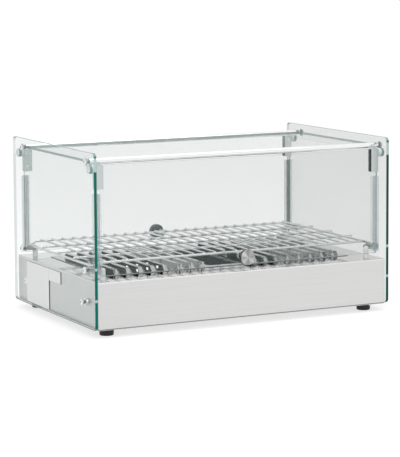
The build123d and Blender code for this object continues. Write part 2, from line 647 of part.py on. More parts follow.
# Power rocker in its housing, and the pilot lamp
with BuildPart() as rocker_housing:
    block(rocker_x - 12, panel_back, control_z - 16, rocker_x + 12, panel_back + 2, control_z + 16)
    fillet(rocker_housing.edges().filter_by(Axis.Y), 1.5)
    block(rocker_x - 9.5, shell_back - 20, control_z - 13.5,
          rocker_x + 9.5, panel_back + 0.1, control_z + 13.5)
    block(rocker_x - 7.2, panel_back - 9, control_z - 11.2, rocker_x + 7.2, panel_back + 3, control_z + 11.2,
          Mode.SUBTRACT)
    for across in (rocker_x - 5, rocker_x + 5):
        block(across - 0.4, shell_back - 28, control_z - 3, across + 0.4, shell_back - 19.9, control_z + 3)
save(rocker_housing, "rocker_housing")

rocker_pivot = panel_back - 1.5
with BuildPart() as power_rocker:
    with BuildSketch(Plane(origin=(rocker_x - 6.9, y_at(rocker_pivot), z_at(control_z)),
                           x_dir=(0, 1, 0), z_dir=(1, 0, 0))):
        with BuildLine():
            Polyline((-2.5, -3), (2.6, -9.8), (4.6, -9.4), (3.6, 0), (6.4, 9.2), (4.6, 9.8), (-2.5, 3),
                     close=True)
        make_face()
    extrude(amount=13.8)
    rod_x(rocker_x - 8, rocker_x + 8, rocker_pivot, control_z, 0.85, Mode.SUBTRACT)
save(power_rocker, "power_rocker")

with BuildPart() as rocker_pivot_pin:
    rod_x(rocker_x - 7.2, rocker_x + 7.2, rocker_pivot, control_z, 0.8)
save(rocker_pivot_pin, "rocker_pivot_pin")

with BuildPart() as pilot_lamp:
    rod_y(panel_back, panel_back + 1.2, lamp_x, control_z, 8.0)
    rod_y(shell_back - 16, panel_back + 0.1, lamp_x, control_z, 6.0)
    rod_y(panel_back + 1.1, panel_back + 4.0, lamp_x, control_z, 5.4)
    fillet(pilot_lamp.edges().filter_by(GeomType.CIRCLE).sort_by(Axis.Y)[-1], 2.0)
save(pilot_lamp, "pilot_lamp")

# Safety cut-out, terminal block, cable gland
with BuildPart() as thermal_cutout:
    rod_up(61.0, shell_top - sheet, 150.0, 310.0, 8.0)
    block(147, 304, 55, 153, 316, 61.1)
save(thermal_cutout, "thermal_cutout")

with BuildPart() as terminal_block:
    block(170, 300, shell_low, 200, 318, 17)
    for across in (175.0, 185.0, 195.0):
        rod_up(10, 18, across, 309.0, 2.5, Mode.SUBTRACT)
save(terminal_block, "terminal_block")

gland_bore, gland_radius, gland_reach = 3.6, 8.0, 15.0
with BuildPart() as cable_gland:
    with BuildSketch(Plane(origin=(gland_x, y_at(panel_back), z_at(control_z)),
                           x_dir=(1, 0, 0), z_dir=(0, 1, 0))):
        RegularPolygon(11.0, 6)
    extrude(amount=5.0)
    rod_y(panel_back + 4.9, panel_back + gland_reach, gland_x, control_z, 9.0)
    fillet(cable_gland.edges().filter_by(GeomType.CIRCLE).sort_by(Axis.Y)[-1], 2.5)
    rod_y(shell_back - 9, panel_back + 0.1, gland_x, control_z, gland_radius)
    rod_y(shell_back - 10, panel_back + gland_reach + 1, gland_x, control_z, gland_bore, Mode.SUBTRACT)
save(cable_gland, "cable_gland")

with BuildPart() as gland_nut:
    with BuildSketch(Plane(origin=(gland_x, y_at(shell_back), z_at(control_z)),
                           x_dir=(1, 0, 0), z_dir=(0, -1, 0))):
        RegularPolygon(11.0, 6)
        Circle(gland_radius + 0.02, mode=Mode.SUBTRACT)
    extrude(amount=5.0)
save(gland_nut, "gland_nut")

# Bare rating plates on the outer face of the left glass
plate_sheet, plate_top = 2.2, 76.0
large_front, large_back, large_low = 188.4, 287.0, 6.0
small_front, small_back, small_low = 138.0, 188.0, 56.0
with BuildPart() as rating_plates:
    block(-half_outer - plate_sheet, large_front, large_low, -half_outer, large_back, plate_top)
    block(-half_outer - plate_sheet, small_front, small_low, -half_outer, small_back, plate_top)
save(rating_plates, "rating_plates")
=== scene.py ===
"""Looks of a counter-top heated display case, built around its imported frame, laid out as an add-on.

The glass panes are cut again with polished edges. The ribs of the seals, the rubber pads in the
hinge clamps, the bare plates and the numbers round the dial are modelled here. Every other piece
keeps its solid and gets its finish.
"""

import json
import math

import bpy
from bpy.props import FloatProperty, FloatVectorProperty, PointerProperty
from mathutils import Matrix, Vector

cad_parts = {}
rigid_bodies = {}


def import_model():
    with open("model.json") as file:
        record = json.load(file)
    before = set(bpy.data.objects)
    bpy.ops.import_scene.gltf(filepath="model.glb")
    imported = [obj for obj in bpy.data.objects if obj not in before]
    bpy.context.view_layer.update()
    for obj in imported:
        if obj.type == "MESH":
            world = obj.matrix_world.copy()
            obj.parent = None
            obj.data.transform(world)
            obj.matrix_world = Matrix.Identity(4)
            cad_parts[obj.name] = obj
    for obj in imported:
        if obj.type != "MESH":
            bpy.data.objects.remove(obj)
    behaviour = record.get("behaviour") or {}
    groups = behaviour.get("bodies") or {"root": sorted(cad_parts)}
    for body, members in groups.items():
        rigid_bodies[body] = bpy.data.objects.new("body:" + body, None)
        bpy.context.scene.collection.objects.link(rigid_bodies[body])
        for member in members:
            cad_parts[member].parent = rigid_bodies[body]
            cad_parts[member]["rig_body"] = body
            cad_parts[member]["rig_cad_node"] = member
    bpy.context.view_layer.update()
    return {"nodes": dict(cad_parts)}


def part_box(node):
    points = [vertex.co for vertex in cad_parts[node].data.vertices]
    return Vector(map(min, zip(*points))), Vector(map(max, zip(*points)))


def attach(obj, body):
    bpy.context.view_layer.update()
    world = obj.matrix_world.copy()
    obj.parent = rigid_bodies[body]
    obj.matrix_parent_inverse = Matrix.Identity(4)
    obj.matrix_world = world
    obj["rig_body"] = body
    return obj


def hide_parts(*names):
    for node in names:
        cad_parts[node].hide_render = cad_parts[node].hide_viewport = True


bl_info = {
    "name": "Heated display case",
    "version": (1, 0, 0),
    "blender": (4, 5, 0),
    "location": "3D View > Sidebar > Display case",
    "description": "Glass, brushed steel and wire finishes for a counter-top heated display case",
    "category": "Object",
}

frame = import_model()
nodes = frame["nodes"]

MM = 0.001
GLASS_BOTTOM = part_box("left_side_glass")[0].z
GLASS_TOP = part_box("left_side_glass")[1].z

# Side panes. Heights are in millimetres above the bottom of the glass
HINGE_HOLES = (251.0, 266.8)
HOLE_INSET = 4 * MM
LEFT_PALE_BANDS = ((47, 50), (98, 101), (257, 278))
RIGHT_PALE_BANDS = ((46, 49), (98, 101), (257, 277))
BAND_SOFTNESS = 0.004

# Doors. Distances across are from the middle of the case
CLAMP_INNER = 251.0 * MM
GASKET_SIDE_MARGIN = 0.4 * MM
GASKET_END_MARGIN = 0.6 * MM
GASKET_ROUNDING = 0.15 * MM
SEAL_RIBS = (255.3, 258.35, 260.95, 263.45, 265.5)
RIB_SECTION = (1.3, 0.8, 1.0)
RIB_SIDES = 12
KNOB_FACE_DEPTH = 0.9 * MM

# Painted reflections on the turned face of a door knob: place round the axis from 0 to 1, and brightness
# there
KNOB_PAINTED_REFLECTIONS = ((0.0, 0.80), (0.10, 1.25), (0.24, 0.62), (0.38, 1.30), (0.52, 0.75),
               (0.64, 1.0), (0.78, 0.62), (0.90, 1.5), (1.0, 0.80))

# Bare plates: a small one at the front and a tall one behind it
SMALL_PLATE_LENGTH = 50.0 * MM
SMALL_PLATE_HEIGHT = 20.0 * MM
PLATE_GAP = 0.4 * MM

# Dial print. Angles are in degrees
DIAL_NUMBERS = ("0", "30", "45", "60", "75", "90")
DIAL_START = 225
DIAL_STEP = 54
INK_HEIGHT = 0.05 * MM

# Stage. A lamp has a place, a size in metres and a power in watts
FLOOR_SIZE = 14
FLOOR_GREY = (0.42, 0.42, 0.42)
FLOOR_GLOW = 0.63
SKY_LEVEL = 0.76
LAMPS = {
    "top_lamp": ((0.1, -0.3, 2.2), 1.8, 16.0),
    "front_lamp": ((-1.6, -2.4, 1.7), 1.6, 22.0),
}
LAMP_TARGET = (0, 0, 0.12)

# Camera, solved from the corners, holes and screws of the case in a picture of 400 by 457 pixels
PICTURE_HEIGHT = 457
SENSOR = 36.0
FOCAL_PIXELS = 2006.0
AXIS_Y = 150.0
YAW, PITCH, ROLL = 0.46552, 0.10035, -0.00568
EYE = (-1.5437, -3.0821, 0.6225)
VIEW_REACH = 30

# Sockets of a Mix node by place, because its sockets for numbers and colours share their names
NUMBER_A, NUMBER_B, NUMBER_OUT = 2, 3, 0
COLOUR_A, COLOUR_B, COLOUR_OUT = 6, 7, 2


# Sizes and colours that a user would change

def length_property(name, description, millimetres):
    return FloatProperty(name=name, description=description, default=millimetres * MM,
                         subtype="DISTANCE", unit="LENGTH")


class CaseSizes(bpy.types.PropertyGroup):
    gasket_sheet: length_property("Gasket thickness", "Rubber pad on the open side of each hinge clamp", 0.45)
    plate_bevel: length_property("Plate edge", "Rounding of the rating plates", 0.3)
    dial_print: length_property("Dial print height", "Height of the numbers round the thermostat dial", 3.2)
    polish_drop: length_property("Polished top", "How far below the top of the base its polish reaches", 0.5)
    # Painted shade: the dark band at the foot of the base stands in for the dark reflection in its lower fold
    fold_painted_shade: length_property("Lower fold", "Height of the dark rolled edge at the foot of the base", 1.3)
    # Painted highlight: the bright band along the top bend of the base
    bend_painted_highlight: length_property("Upper bend", "Depth of the bright bend along the top of the base", 2.2)
    seal_rib: length_property("Seal rib", "Height of the ribs along the door seals", 0.45)


def colour_property(name, description, default):
    return FloatVectorProperty(name=name, description=description, default=default,
                               subtype="COLOR", size=3, min=0.0, max=1.0)


class CaseColours(bpy.types.PropertyGroup):
    glass_tint: colour_property("Glass tint", "Body of the left, top and door panes", (0.36, 0.46, 0.44))
    # Painted shade: the right pane is a darkened copy of the same glass
    right_glass_painted_shade: colour_property("Shaded glass", "Body of the right pane", (0.27, 0.30, 0.29))
    left_edge: colour_property("Left edge", "Polished edge of the left pane", (0.002, 0.185, 0.140))
    right_edge: colour_property("Right edge", "Polished edge of the right pane", (0.002, 0.105, 0.085))
    edge_notch: colour_property("Edge notches", "Pale stretches of the polished edges", (0.62, 0.74, 0.72))
    pale_edge: colour_property("Pale edge", "Edges that look along the pane", (0.26, 0.345, 0.335))
    hole_rim: colour_property("Hole rims", "Ground rims of the hinge holes", (0.10, 0.36, 0.32))
    case_steel: colour_property("Case steel", "Brushed sheet of the base", (0.642, 0.642, 0.637))
    deck_steel: colour_property("Deck steel", "Polished sheet of the louvred deck", (0.50, 0.505, 0.50))
    rod_steel: colour_property("Rod steel", "Polished rods and screws", (0.78, 0.79, 0.79))
    # Painted reflection: the dark colour of the polished studs stands in for the dark reflections on them
    stud_painted_reflection: colour_property("Stud steel", "Dark polished studs under the rack", (0.36, 0.36, 0.35))
    clamp_metal: colour_property("Clamp metal", "Satin hinge clamps", (0.55, 0.60, 0.59))
    pin_metal: colour_property("Pin metal", "Hinge pins", (0.86, 0.88, 0.88))
    washer_nylon: colour_property("Washer nylon", "Clear washers", (0.72, 0.77, 0.77))
    bush_nylon: colour_property("Bush nylon", "Hinge bushes", (0.94, 0.96, 0.96))
    post_nylon: colour_property("Post nylon", "Door posts", (0.95, 0.97, 0.97))
    seal_clear: colour_property("Seal", "Clear ribbed door seals", (0.74, 0.83, 0.85))
    rubber: colour_property("Rubber", "Feet and gaskets", (0.012, 0.012, 0.012))
    plate_white: colour_property("Plate", "Bare rating plates", (0.96, 0.98, 0.97))
    # Painted shadow: the near-black plate edges stand in for the shadow strip beside the plates
    plate_painted_shadow: colour_property("Plate edge", "Edges of the rating plates", (0.07, 0.075, 0.07))
    control_black: colour_property("Controls", "Black plastic at the rear", (0.025, 0.025, 0.026))
    dial_ring: colour_property("Dial ring", "Ring that carries the numbers", (0.62, 0.63, 0.63))
    dial_ink: colour_property("Dial ink", "Numbers round the dial", (0.02, 0.02, 0.02))
    rocker_red: colour_property("Rocker", "Power rocker", (0.55, 0.03, 0.02))
    lamp_amber: colour_property("Pilot lamp", "Lens of the pilot lamp", (0.80, 0.35, 0.04))
    terminal_white: colour_property("Terminals", "Terminal block", (0.80, 0.80, 0.76))
    element_sheath: colour_property("Element", "Sheath of the heating element", (0.24, 0.22, 0.20))


def sizes():
    return bpy.context.scene.case_sizes


def colours():
    return bpy.context.scene.case_colours


# Node building blocks. The owner of a node is a material or the world

def add_node(owner, kind, **values):
    node = owner.node_tree.nodes.new(kind)
    for name, value in values.items():
        if name in node.inputs:
            node.inputs[name].default_value = value
        else:
            setattr(node, name, value)
    return node


def feed(owner, source, target):
    """Gives an input its value, or the output that it reads."""
    if isinstance(source, bpy.types.NodeSocket):
        owner.node_tree.links.new(source, target)
    else:
        target.default_value = source


def calculate(owner, operation, *terms):
    """The result of a sum on outputs and numbers."""
    node = add_node(owner, "ShaderNodeMath", operation=operation)
    for place, term in enumerate(terms):
        feed(owner, term, node.inputs[place])
    return node.outputs[0]


def rescale(owner, source, before=(0.0, 1.0), after=(0.0, 1.0)):
    """Moves a value from one range to another."""
    node = add_node(owner, "ShaderNodeMapRange")
    for name, value in zip(("From Min", "From Max", "To Min", "To Max"), (*before, *after)):
        node.inputs[name].default_value = value
    feed(owner, source, node.inputs["Value"])
    return node.outputs["Result"]


def colour_ramp(material, source, stops):
    """Colours at places from 0 to 1, in order, read by a value."""
    node = add_node(material, "ShaderNodeValToRGB")
    marks = node.color_ramp.elements
    for mark, (place, colour) in ((marks[0], stops[0]), (marks[1], stops[-1])):
        mark.position = place
        mark.color = (*colour, 1)
    for place, colour in stops[1:-1]:
        marks.new(place).color = (*colour, 1)
    feed(material, source, node.inputs["Fac"])
    return node.outputs["Color"]


def mix_colours(material, amount, first, second, blend_type="MIX"):
    node = add_node(material, "ShaderNodeMix", data_type="RGBA", blend_type=blend_type)
    feed(material, amount, node.inputs["Factor"])
    feed(material, first, node.inputs[COLOUR_A])
    feed(material, second, node.inputs[COLOUR_B])
    return node.outputs[COLOUR_OUT]


def split_place(material, kind="Object"):
    """The X, Y and Z of a point, or of the normal there."""
    place = add_node(material, "ShaderNodeTexCoord")
    split = add_node(material, "ShaderNodeSeparateXYZ")
    feed(material, place.outputs[kind], split.inputs["Vector"])
    return split.outputs


def stretched_noise(material, stretch, detail=4.0):
    """Noise on object coordinates, stretched along the directions with a small scale."""
    place = add_node(material, "ShaderNodeTexCoord")
    mapping = add_node(material, "ShaderNodeMapping", Scale=stretch)
    noise = add_node(material, "ShaderNodeTexNoise", Scale=1.0, Detail=detail, Roughness=0.6)
    feed(material, place.outputs["Object"], mapping.inputs["Vector"])
    feed(material, mapping.outputs["Vector"], noise.inputs["Vector"])
    return noise.outputs["Fac"]


def shade(colour, factor):
    return tuple(min(1.0, part * factor) for part in colour)


def grain_tones(material, grain, dark, light, low=0.35, high=0.65):
    """Two tones over the middle of a noise."""
    return colour_ramp(material, grain, ((low, dark), (high, light)))


def raise_grain(material, shader, grain, strength, distance=0.2 * MM):
    bump = add_node(material, "ShaderNodeBump", Strength=strength, Distance=distance)
    feed(material, grain, bump.inputs["Height"])
    feed(material, bump.outputs["Normal"], shader.inputs["Normal"])


# Finishes

def new_finish(name):
    """An empty material and its shader."""
    material = bpy.data.materials.new(name)
    material.use_nodes = True
    return material, shader_of(material)


def shader_of(material):
    return material.node_tree.nodes["Principled BSDF"]


def grained(name, colour, stretch, contrast, gloss_range, detail=4.0):
    """A finish whose colour and gloss follow one noise."""
    material, shader = new_finish(name)
    grain = stretched_noise(material, stretch, detail)
    tone = grain_tones(material, grain, shade(colour, 1 - contrast), shade(colour, 1 + contrast))
    feed(material, tone, shader.inputs["Base Color"])
    feed(material, rescale(material, grain, after=gloss_range), shader.inputs["Roughness"])
    return material, shader, grain


def metal(name, colour, stretch, rough, spread=0.06, contrast=0.05, bump=0.05, metallic=1.0):
    """Metal with a directional grain in colour, gloss and relief."""
    material, shader, grain = grained(name, colour, stretch, contrast, (rough - spread, rough + spread))
    raise_grain(material, shader, grain, bump)
    shader.inputs["Metallic"].default_value = metallic
    return material


def moulded(name, colour, rough, grain_scale=900.0, bump=0.12, contrast=0.12, alpha=1.0):
    """Moulded plastic or rubber with a fine even texture."""
    material, shader, grain = grained(name, colour, (grain_scale,) * 3, contrast,
                                      (rough - 0.05, rough + 0.05), detail=2.0)
    raise_grain(material, shader, grain, bump, 0.1 * MM)
    shader.inputs["Alpha"].default_value = alpha
    return material


def clear_glass(name, tint, alpha, glare=0.5):
    """Clear pane: a thin body tint with faint smears in its gloss."""
    material, shader, smear = grained(name, tint, (9, 9, 9), 0.04, (0.02, 0.06), detail=3.0)
    shader.inputs["Alpha"].default_value = alpha
    shader.inputs["IOR"].default_value = 1.5
    shader.inputs["Specular IOR Level"].default_value = glare
    hide_inside(material, see_through=1.0)
    return material


def ground_edge(name, colour, alpha=0.92):
    """Pane edge that is seen along the pane, pale and a little streaky."""
    material, shader, streak = grained(name, colour, (300, 60, 300), 0.15, (0.1, 0.25), detail=3.0)
    shader.inputs["Alpha"].default_value = alpha
    return material


def banded_edge(name, colour, pale, bands):
    """Polished pane edge. Bands are low and high heights that look pale, above the glass bottom."""
    material, shader = new_finish(name)
    height = rescale(material, split_place(material)["Z"], before=(GLASS_BOTTOM, GLASS_TOP))
    reach = (GLASS_TOP - GLASS_BOTTOM) / MM
    stops = [(0.0, colour)]
    for low, high in bands:
        stops += [(low / reach - BAND_SOFTNESS, colour), (low / reach, pale),
                  (high / reach, pale), (high / reach + BAND_SOFTNESS, colour)]
    stops.append((1.0, pale))
    streak = stretched_noise(material, (2500, 2500, 14), detail=3.0)
    depth = grain_tones(material, streak, (0.72, 0.8, 0.8), (1.0, 1.0, 1.0))
    tone = mix_colours(material, 1.0, colour_ramp(material, height, stops), depth, "MULTIPLY")
    feed(material, tone, shader.inputs["Base Color"])
    feed(material, rescale(material, streak, after=(0.12, 0.22)), shader.inputs["Roughness"])
    shader.inputs["Specular IOR Level"].default_value = 0.12
    hide_inside(material)
    return material


def hide_inside(material, see_through=0.72):
    """The inner side of a pane's face or polished edge lets the light through."""
    clear = add_node(material, "ShaderNodeBsdfTransparent")
    side = add_node(material, "ShaderNodeNewGeometry")
    choose = add_node(material, "ShaderNodeMixShader")
    out = material.node_tree.nodes["Material Output"]
    amount = calculate(material, "MULTIPLY", side.outputs["Backfacing"], see_through)
    feed(material, amount, choose.inputs["Fac"])
    feed(material, shader_of(material).outputs["BSDF"], choose.inputs[1])
    feed(material, clear.outputs["BSDF"], choose.inputs[2])
    feed(material, choose.outputs["Shader"], out.inputs["Surface"])


def polish_above(material, height, gloss=0.07):
    """Makes the finish mirror-like above a height, as on the top of the folded sheet."""
    roughness = shader_of(material).inputs["Roughness"]
    above = calculate(material, "GREATER_THAN", split_place(material)["Z"], height)
    mix = add_node(material, "ShaderNodeMix", data_type="FLOAT")
    feed(material, above, mix.inputs["Factor"])
    feed(material, roughness.links[0].from_socket, mix.inputs[NUMBER_A])
    feed(material, gloss, mix.inputs[NUMBER_B])
    feed(material, mix.outputs[NUMBER_OUT], roughness)


def tone_where(material, mask, factor):
    """Multiplies the base colour by a factor where the mask is 1."""
    base = shader_of(material).inputs["Base Color"]
    tone = mix_colours(material, mask, base.links[0].from_socket, (factor, factor, factor, 1), "MULTIPLY")
    feed(material, tone, base)


def paint_slope_shade(material, factor=0.45, level=0.995, steep=0.90):
    """Painted shade: the pressed slopes are darker in colour than the flat sheet round them, chosen by their
    normal.
    """
    upright = split_place(material, "Normal")["Z"]
    tone_where(material, rescale(material, upright, before=(level, steep)), factor)


def paint_fold_light(material, bottom, top, factor):
    """Painted light on a rolled fold or bend of the sheet, between two heights: painted shade where the
    factor darkens the flat, painted highlight where it lightens it.
    """
    height = split_place(material)["Z"]
    band = calculate(material, "COMPARE", height, (bottom + top) / 2, (top - bottom) / 2)
    tone_where(material, band, factor)


def spun_metal(name, colour, centre, face_y):
    """Turned face: fine rings round the axis, with broad light and dark painted reflections round it, on a
    stem darkened as a painted dark reflection.
    """
    material, shader = new_finish(name)
    place = split_place(material)
    across = add_node(material, "ShaderNodeCombineXYZ")
    feed(material, place["X"], across.inputs["X"])
    feed(material, place["Z"], across.inputs["Y"])
    centred = add_node(material, "ShaderNodeMapping", Location=(-centre.x, -centre.z, 0))
    feed(material, across.outputs["Vector"], centred.inputs["Vector"])
    fan = add_node(material, "ShaderNodeTexGradient", gradient_type="RADIAL")
    feed(material, centred.outputs["Vector"], fan.inputs["Vector"])
    # Painted reflections: light and dark sectors round the axis of the face
    stops = [(turn, shade(colour, factor)) for turn, factor in KNOB_PAINTED_REFLECTIONS]
    painted_reflections = colour_ramp(material, fan.outputs["Fac"], stops)
    from_face = calculate(material, "ABSOLUTE", calculate(material, "SUBTRACT", place["Y"], face_y))
    # Painted dark reflection on the stem behind the face
    behind = calculate(material, "GREATER_THAN", from_face, KNOB_FACE_DEPTH)
    tone = mix_colours(material, behind, painted_reflections, (*shade(colour, 0.30), 1))
    feed(material, tone, shader.inputs["Base Color"])
    rings = add_node(material, "ShaderNodeTexWave", wave_type="RINGS", rings_direction="Z",
                     Scale=260.0, Distortion=1.5)
    feed(material, centred.outputs["Vector"], rings.inputs["Vector"])
    raise_grain(material, shader, rings.outputs["Fac"], 0.15, 0.1 * MM)
    shader.inputs["Metallic"].default_value = 1.0
    shader.inputs["Roughness"].default_value = 0.26
    return material


# Mesh building blocks

def dress(material, *names):
    """Gives carried-over solids their finish."""
    for name in names:
        mesh = nodes[name].data
        mesh.materials.clear()
        mesh.materials.append(material)


def nothing_selected():
    if bpy.context.object and bpy.context.object.mode != "OBJECT":
        bpy.ops.object.mode_set(mode="OBJECT")
    bpy.ops.object.select_all(action="DESELECT")


def select_only(*pieces):
    nothing_selected()
    for piece in pieces:
        piece.select_set(True)
    bpy.context.view_layer.objects.active = pieces[0]


def settle(piece, name, body, slot, *materials):
    """Names a finished piece, puts its place into its mesh and hangs it on its body."""
    select_only(piece)
    bpy.ops.object.transform_apply(location=True, rotation=True, scale=True)
    piece.name = name
    piece.data.name = name
    piece.data.materials.clear()
    for material in materials:
        piece.data.materials.append(material)
    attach(piece, body)
    return piece


def box_piece(low, high, bevel, segments=3):
    """A block between two corners, its edges rounded by a bevel in edit mode."""
    nothing_selected()
    middle = (Vector(low) + Vector(high)) / 2
    bpy.ops.mesh.primitive_cube_add(size=1, location=middle)
    piece = bpy.context.object
    piece.scale = Vector(high) - Vector(low)
    bpy.ops.object.transform_apply(location=False, rotation=False, scale=True)
    bpy.ops.object.mode_set(mode="EDIT")
    bpy.ops.mesh.select_all(action="SELECT")
    bpy.ops.mesh.bevel(offset=bevel, segments=segments, affect="EDGES")
    bpy.ops.object.mode_set(mode="OBJECT")
    return piece


def rib(across, face, low, high):
    """One rounded rib along the face of a seal, its ends closed."""
    nothing_selected()
    bpy.ops.mesh.primitive_cylinder_add(vertices=RIB_SIDES, radius=sizes().seal_rib, depth=high - low,
                                        location=(across, face, (low + high) / 2))
    piece = bpy.context.object
    bpy.ops.object.mode_set(mode="EDIT")
    bpy.ops.mesh.select_all(action="SELECT")
    bpy.ops.transform.resize(value=RIB_SECTION)
    bpy.ops.object.mode_set(mode="OBJECT")
    return piece


def flat_number(text, place):
    """One raised number that stands upright and faces the rear."""
    nothing_selected()
    bpy.ops.object.text_add(location=place)
    number = bpy.context.object
    number.data.body = text
    number.data.size = sizes().dial_print
    number.data.align_x = "CENTER"
    number.data.align_y = "CENTER"
    number.data.extrude = INK_HEIGHT
    number.rotation_euler = (math.radians(90), 0, math.radians(180))
    bpy.ops.object.convert(target="MESH")
    return bpy.context.object


def smooth(piece, degrees=35):
    select_only(piece)
    bpy.ops.object.shade_smooth_by_angle(angle=math.radians(degrees))


def join_pieces(parts):
    select_only(*parts)
    bpy.ops.object.join()
    return bpy.context.object


def merged_copy(node):
    """A copy of a solid's mesh with its loose triangles joined."""
    piece = nodes[node].copy()
    piece.data = nodes[node].data.copy()
    piece.parent = None
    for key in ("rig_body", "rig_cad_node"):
        if key in piece:
            del piece[key]
    bpy.context.scene.collection.objects.link(piece)
    select_only(piece)
    bpy.ops.object.mode_set(mode="EDIT")
    bpy.ops.mesh.select_all(action="SELECT")
    bpy.ops.mesh.remove_doubles(threshold=0.01 * MM)
    bpy.ops.mesh.dissolve_limited(angle_limit=math.radians(1.0))
    bpy.ops.object.mode_set(mode="OBJECT")
    return piece


def polished_pane(node, name, body, slot, flat_axis, face, end_edge, long_edge, hole_rim=None):
    """A pane cut again from its solid, with a finish each for its faces, edges and hole rims."""
    piece = merged_copy(node)
    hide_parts(node)
    settle(piece, name, body, slot, face, end_edge, long_edge, hole_rim or end_edge)
    low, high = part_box(node)
    for polygon in piece.data.polygons:
        normal = polygon.normal
        if abs(normal[flat_axis]) > 0.9:
            polygon.material_index = 0
        elif hole_rim and in_hinge_hole(polygon.center, low, high):
            polygon.material_index = 3
        elif abs(normal.z) < 0.5:
            polygon.material_index = 1
        else:
            polygon.material_index = 2
    return piece


def in_hinge_hole(place, low, high):
    """True for a face of a side pane that belongs to the rim of a hinge hole."""
    height = (place.z - low.z) / MM
    clear_of_ends = min(place.y - low.y, high.y - place.y) > HOLE_INSET
    return clear_of_ends and HINGE_HOLES[0] < height < HINGE_HOLES[1]


# One operator for each piece or group of like pieces

class CASE_OT_side_glass(bpy.types.Operator):
    """Cut the two side panes with their green polished edges"""
    bl_idname = "case.side_glass"
    bl_label = "Side glass"

    def execute(self, context):
        tint = colours()
        # Painted light: the left pane takes a lightened copy of the glass tint, the right pane a darkened one
        # as painted shade
        clear = clear_glass("side_glass_face", shade(tint.glass_tint, 1.5), 0.22)
        shaded = clear_glass("right_glass_face", tint.right_glass_painted_shade, 0.32)
        pale = ground_edge("side_glass_long_edge", tint.pale_edge)
        rim = ground_edge("side_glass_hole_rim", tint.hole_rim, alpha=0.8)
        left = banded_edge("left_glass_edge", tint.left_edge, tint.edge_notch, LEFT_PALE_BANDS)
        right = banded_edge("right_glass_edge", tint.right_edge, tint.edge_notch, RIGHT_PALE_BANDS)
        for side, face, edge in (("left", clear, left), ("right", shaded, right)):
            polished_pane(f"{side}_side_glass", f"{side}_pane", "base", "side_glass", 0,
                          face, edge, pale, hole_rim=rim)
        return {"FINISHED"}


class CASE_OT_door_glass(bpy.types.Operator):
    """Cut the door panes and the top pane"""
    bl_idname = "case.door_glass"
    bl_label = "Door and top glass"

    def execute(self, context):
        tint = colours()
        face = clear_glass("door_glass_face", tint.glass_tint, 0.18)
        shaded = clear_glass("top_glass_face", tint.glass_tint, 0.26, glare=0.1)
        pale = ground_edge("door_glass_edge", tint.pale_edge, alpha=0.85)
        for door in ("front", "rear"):
            polished_pane(f"{door}_door_glass", f"{door}_door_pane", f"{door}_door", "door_glass", 1,
                          face, pale, pale)
        polished_pane("top_glass", "top_pane", "base", "door_glass", 2, shaded, pale, pale)
        return {"FINISHED"}


class CASE_OT_base_steel(bpy.types.Operator):
    """Give the folded steel base its brushed finish"""
    bl_idname = "case.base_steel"
    bl_label = "Steel base"

    def execute(self, context):
        steel = colours().case_steel
        low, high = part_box("base_shell")
        polished_from = high.z - sizes().polish_drop
        brushed = metal("brushed_case", steel, (6, 260, 1400), 0.34, contrast=0.035, bump=0.06)
        polish_above(brushed, polished_from)
        # Painted shade: the lower fold of the sheet is darkened in its colour
        paint_fold_light(brushed, low.z - MM, low.z + sizes().fold_painted_shade, 0.30)
        # Painted highlight: the upper bend of the sheet is lightened in its colour
        paint_fold_light(brushed, high.z - sizes().bend_painted_highlight, polished_from, 1.18)
        dress(brushed, "base_shell", "rear_panel")
        mill = metal("mill_sheet", shade(steel, 0.85), (200, 200, 200), 0.45)
        dress(mill, "bottom_cover", "heat_reflector", "element_brackets")
        return {"FINISHED"}


class CASE_OT_deck(bpy.types.Operator):
    """Give the louvred deck and the water tray their polish"""
    bl_idname = "case.deck"
    bl_label = "Deck and tray"

    def execute(self, context):
        polished = metal("polished_deck", colours().deck_steel, (40, 900, 900), 0.09, spread=0.03, bump=0.01)
        # Painted shade on the louvre slopes
        paint_slope_shade(polished)
        dress(polished, "deck_plate", "water_tray")
        return {"FINISHED"}


class CASE_OT_fittings(bpy.types.Operator):
    """Finish the rods, studs, screws, washers, pins and bushes"""
    bl_idname = "case.fittings"
    bl_label = "Rods and fittings"

    def execute(self, context):
        tint = colours()
        rod = metal("polished_rod", shade(tint.rod_steel, 1.12), (8, 700, 700), 0.13, spread=0.03,
                    contrast=0.03, bump=0.01, metallic=0.92)
        plated = metal("plated_screws", shade(tint.rod_steel, 0.92), (500, 500, 500), 0.18)
        # Painted reflection: the studs are darkened in colour
        dark = metal("polished_studs", tint.stud_painted_reflection, (500, 500, 500), 0.08, spread=0.02)
        nylon = moulded("clear_nylon", tint.washer_nylon, 0.25, alpha=0.75)
        pin = metal("pin_metal", tint.pin_metal, (400, 400, 400), 0.4, metallic=0.35)
        bush = moulded("bush_nylon", tint.bush_nylon, 0.3, contrast=0.03, alpha=0.8)
        dress(rod, "front_rod", "rear_rod", "base_spacers")
        dress(plated, "rod_end_screws", "base_side_screws", "rack_stud_screws", "rear_panel_screws",
              "bottom_screws", "foot_screws", "foot_nuts", "base_side_nuts", "element_terminals",
              "rocker_pivot_pin", "front_clamp_set_screws", "rear_clamp_set_screws",
              "front_knob_screw", "rear_knob_screw", "thermal_cutout")
        dress(dark, "rack_studs")
        dress(nylon, "rod_washers", "front_knob_washers", "rear_knob_washers")
        dress(pin, "front_hinge_pins", "rear_hinge_pins")
        dress(bush, "hinge_bushes")
        return {"FINISHED"}


class CASE_OT_rack(bpy.types.Operator):
    """Finish the welded wire rack"""
    bl_idname = "case.rack"
    bl_label = "Wire rack"

    def execute(self, context):
        wire = metal("rack_wire", shade(colours().rod_steel, 0.92), (300, 60, 300), 0.20, spread=0.05)
        dress(wire, "wire_rack")
        return {"FINISHED"}


